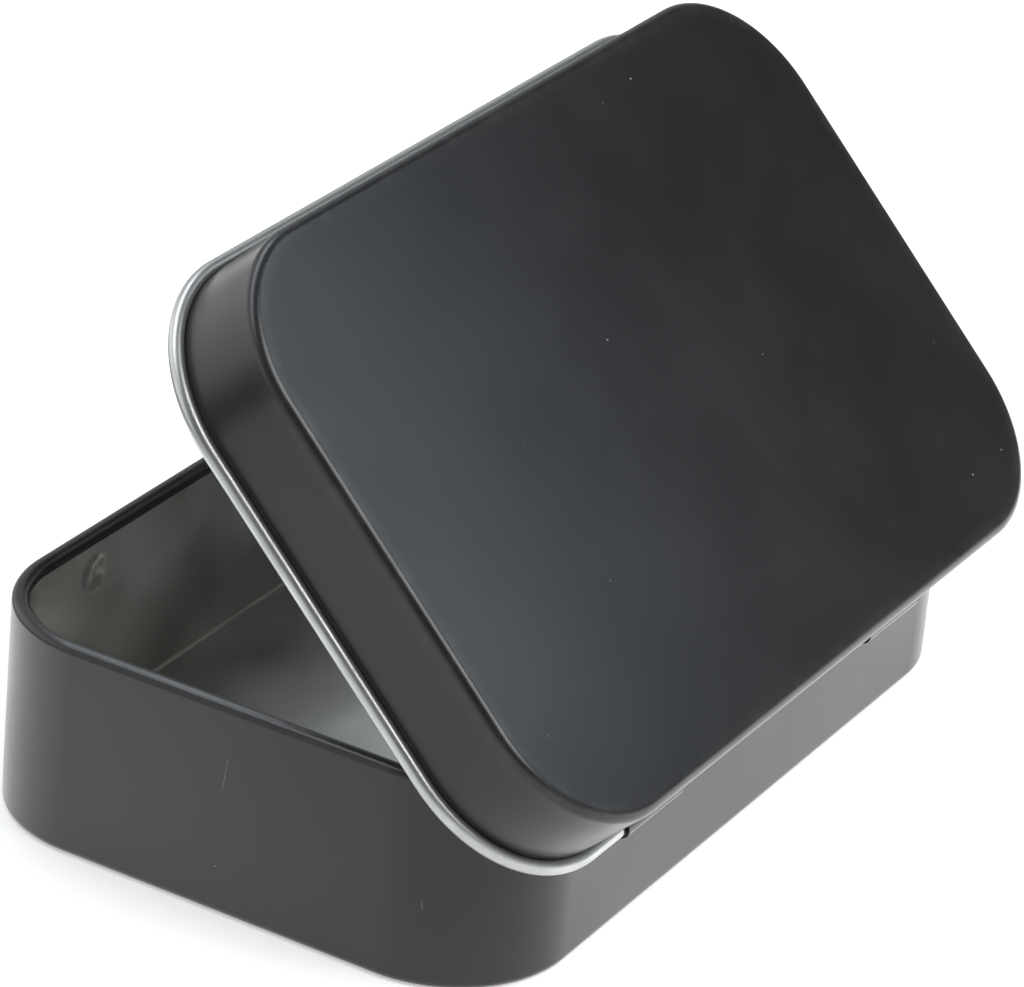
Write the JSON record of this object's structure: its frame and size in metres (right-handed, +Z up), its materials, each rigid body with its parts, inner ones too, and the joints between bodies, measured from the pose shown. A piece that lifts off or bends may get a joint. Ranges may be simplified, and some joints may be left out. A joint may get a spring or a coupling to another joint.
{
  "type": "hinged card game tin",
  "caption": "Pocket tin of thin sheet for a small card game, with rounded corners, a rolled rim and a lid that turns on its own rim bead.",
  "frame": {"origin": "centre of the base's underside, on the table", "axes": "+Z up, +X along the length, +Y towards the hinge; the lid opens at the -Y side"},
  "size_m": [0.0948, 0.0648, 0.0602],
  "materials": {
    "base_shell": "matt black lacquer outside, bare tinplate inside",
    "base_rim_curl": "matt black lacquer",
    "hinge_tab_left": "matt black lacquer",
    "hinge_tab_right": "matt black lacquer",
    "lid_shell": "matt black lacquer outside, bare tinplate inside",
    "lid_rim_bead": "bare satin tinplate"
  },
  "bodies": {
    "base": {"base_shell": "base_shell", "base_rim_curl": "base_rim_curl", "hinge_tab_left": "hinge_tab_left", "hinge_tab_right": "hinge_tab_right"},
    "lid": {"lid_shell": "lid_shell", "lid_rim_bead": "lid_rim_bead"}
  },
  "joints": [
    {"name": "lid_hinge", "type": "hinge", "parent": "base", "child": "lid", "pos_m": [0, 0.02985, 0.01163], "axis": [-1, 0, 0], "range_deg": [-45.6, 64.4]}
  ]
}
